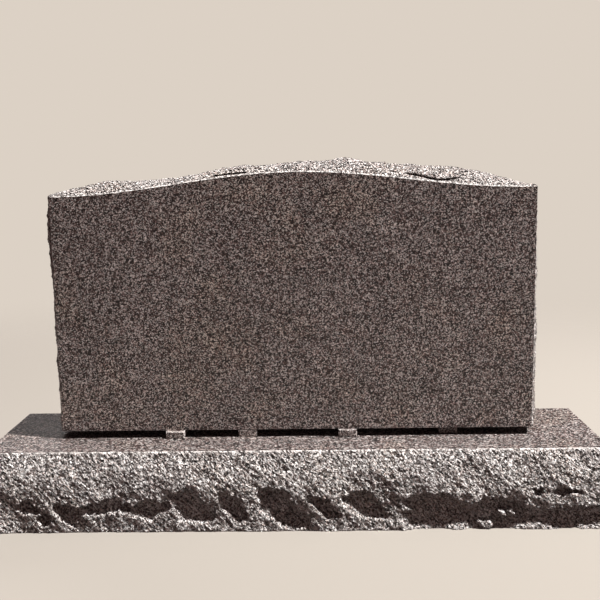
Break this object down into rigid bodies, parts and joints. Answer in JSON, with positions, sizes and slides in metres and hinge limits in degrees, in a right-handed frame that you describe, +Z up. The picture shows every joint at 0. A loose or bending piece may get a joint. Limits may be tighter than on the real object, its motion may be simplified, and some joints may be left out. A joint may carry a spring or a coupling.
{
  "type": "grave marker",
  "caption": "Upright granite grave marker: a flat-faced tablet with a serpentine top and rock-pitched edges, resting on spacers over a rock-pitched base with a sawn top.",
  "frame": {"origin": "middle of the base's underside, on the ground", "axes": "+Z up, +X along the length of the stone, the tablet's front face looks along -Y"},
  "size_m": [1.6, 0.406, 0.9189],
  "materials": {
    "polished_granite": "steeled to a low polish",
    "rock_pitched_granite": "rock pitched, rough and matt",
    "sawn_granite": "sawn, matt"
  },
  "bodies": {
    "root": {"base": "rock_pitched_granite", "tablet": "polished_granite", "spacer_left": "sawn_granite", "spacer_mid_left": "sawn_granite", "spacer_mid_right": "sawn_granite", "spacer_right": "sawn_granite"}
  },
  "joints": []
}
